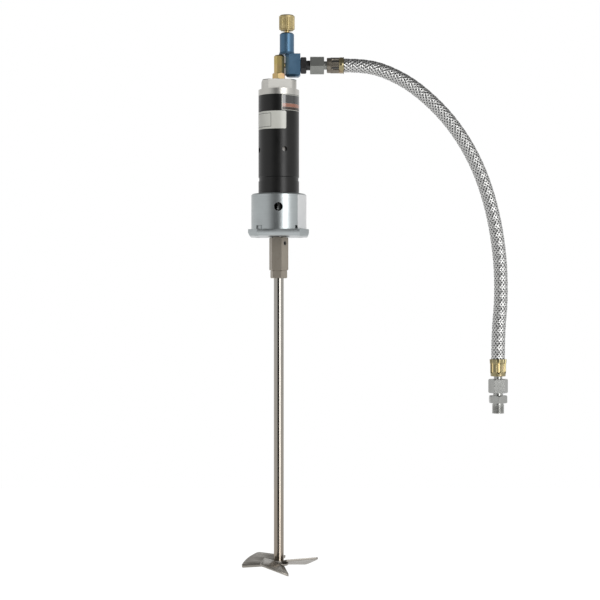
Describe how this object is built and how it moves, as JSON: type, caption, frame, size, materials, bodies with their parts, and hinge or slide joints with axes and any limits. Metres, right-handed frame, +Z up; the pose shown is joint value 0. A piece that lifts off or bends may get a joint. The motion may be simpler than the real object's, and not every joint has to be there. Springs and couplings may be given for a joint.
{
  "type": "tank agitator",
  "caption": "Flange-mounted tank agitator: vane air motor with planetary gear, throttle valve and braided air hose, driving a long shaft with a stamped propeller.",
  "frame": {"origin": "centre of the flange plate underside, on the shaft axis", "axes": "+Z up along the shaft axis towards the motor and its throttle knob; +X towards the air inlet and hose; -Y towards the side port of the housing"},
  "size_m": [0.2667, 0.0717, 0.554],
  "materials": {
    "polished_steel": "polished, turned",
    "stainless": "turned stainless steel",
    "plated_steel": "zinc plated",
    "gear_steel": "ground",
    "spring_steel": "ground",
    "cast_liner": "bored",
    "black_case": "black, satin",
    "matt_aluminium": "matt",
    "brass": "turned",
    "blue_aluminium": "blue anodised",
    "black_fitting": "black, satin",
    "rubber": "matt",
    "white_plastic": "matt",
    "vane_plastic": "laminated",
    "braided_hose": "stainless braid over rubber"
  },
  "bodies": {
    "motor": {"bearing_circlip": "spring_steel", "brass_elbow": "brass", "cap_o_ring": "rubber", "clamp_ring": "spring_steel", "cylinder_liner": "cast_liner", "elbow_washer": "white_plastic", "end_cap": "matt_aluminium", "flange_housing": "polished_steel", "front_end_plate": "black_case", "front_rotor_bearing_outer_ring": "spring_steel", "gear_case": "black_case", "hose": "braided_hose", "inlet_adapter": "black_fitting", "inlet_ferrule": "brass", "inlet_nipple": "plated_steel", "inlet_union_nut": "plated_steel", "lower_bearing_outer_ring": "spring_steel", "motor_sleeve": "black_case", "outlet_connector": "plated_steel", "outlet_ferrule": "brass", "outlet_nipple": "plated_steel", "outlet_union_nut": "plated_steel", "rear_end_plate": "cast_liner", "rear_rotor_bearing_outer_ring": "spring_steel", "ring_gear": "gear_steel", "shaft_seal": "rubber", "stem_o_ring": "rubber", "throttle_body": "blue_aluminium", "upper_bearing_outer_ring": "spring_steel"},
    "drive": {"output_spindle": "gear_steel", "planet_pin_1": "gear_steel", "planet_pin_2": "gear_steel", "planet_pin_3": "gear_steel", "lower_bearing_inner_ring": "spring_steel", "upper_bearing_inner_ring": "spring_steel", "hex_coupling": "stainless", "grub_screw": "spring_steel", "jam_nut": "stainless", "agitator_shaft": "stainless", "propeller": "stainless", "weld_bead": "stainless"},
    "rotor": {"rotor": "gear_steel", "vane_1": "vane_plastic", "vane_2": "vane_plastic", "vane_3": "vane_plastic", "vane_4": "vane_plastic", "sun_pinion": "gear_steel", "front_rotor_bearing_inner_ring": "spring_steel", "rear_rotor_bearing_inner_ring": "spring_steel"},
    "planet_1": {"planet_gear_1": "gear_steel"},
    "planet_2": {"planet_gear_2": "gear_steel"},
    "planet_3": {"planet_gear_3": "gear_steel"},
    "needle": {"needle_spindle": "brass"},
    "knob": {"throttle_knob": "brass"}
  },
  "joints": [
    {"name": "drive_spin", "type": "hinge", "parent": "motor", "child": "drive", "pos_m": [0, 0, 0], "axis": [0, 0, 1], "continuous": true},
    {"name": "rotor_spin", "type": "hinge", "parent": "motor", "child": "rotor", "pos_m": [0, 0, 0], "axis": [0, 0, 1], "continuous": true},
    {"name": "planet_1_spin", "type": "hinge", "parent": "drive", "child": "planet_1", "pos_m": [0.009, 0, 0.0505], "axis": [0, 0, 1], "continuous": true},
    {"name": "planet_2_spin", "type": "hinge", "parent": "drive", "child": "planet_2", "pos_m": [-0.0045, 0.00779, 0.0505], "axis": [0, 0, 1], "continuous": true},
    {"name": "planet_3_spin", "type": "hinge", "parent": "drive", "child": "planet_3", "pos_m": [-0.0045, -0.00779, 0.0505], "axis": [0, 0, 1], "continuous": true},
    {"name": "needle_lift", "type": "slide", "parent": "motor", "child": "needle", "axis": [0, 0, 1], "range_m": [-0.0018, 0.0026]},
    {"name": "knob_turn", "type": "hinge", "parent": "needle", "child": "knob", "pos_m": [0.0081, 0, 0.206], "axis": [0, 0, 1], "range_deg": [-720, 1080]}
  ],
  "couplings": [
    {"joint": "rotor_spin", "follows": "drive_spin", "ratio": 4},
    {"joint": "planet_1_spin", "follows": "drive_spin", "ratio": -3},
    {"joint": "planet_2_spin", "follows": "drive_spin", "ratio": -3},
    {"joint": "planet_3_spin", "follows": "drive_spin", "ratio": -3},
    {"joint": "needle_lift", "follows": "knob_turn", "m_per_rad": 0.00011937}
  ]
}
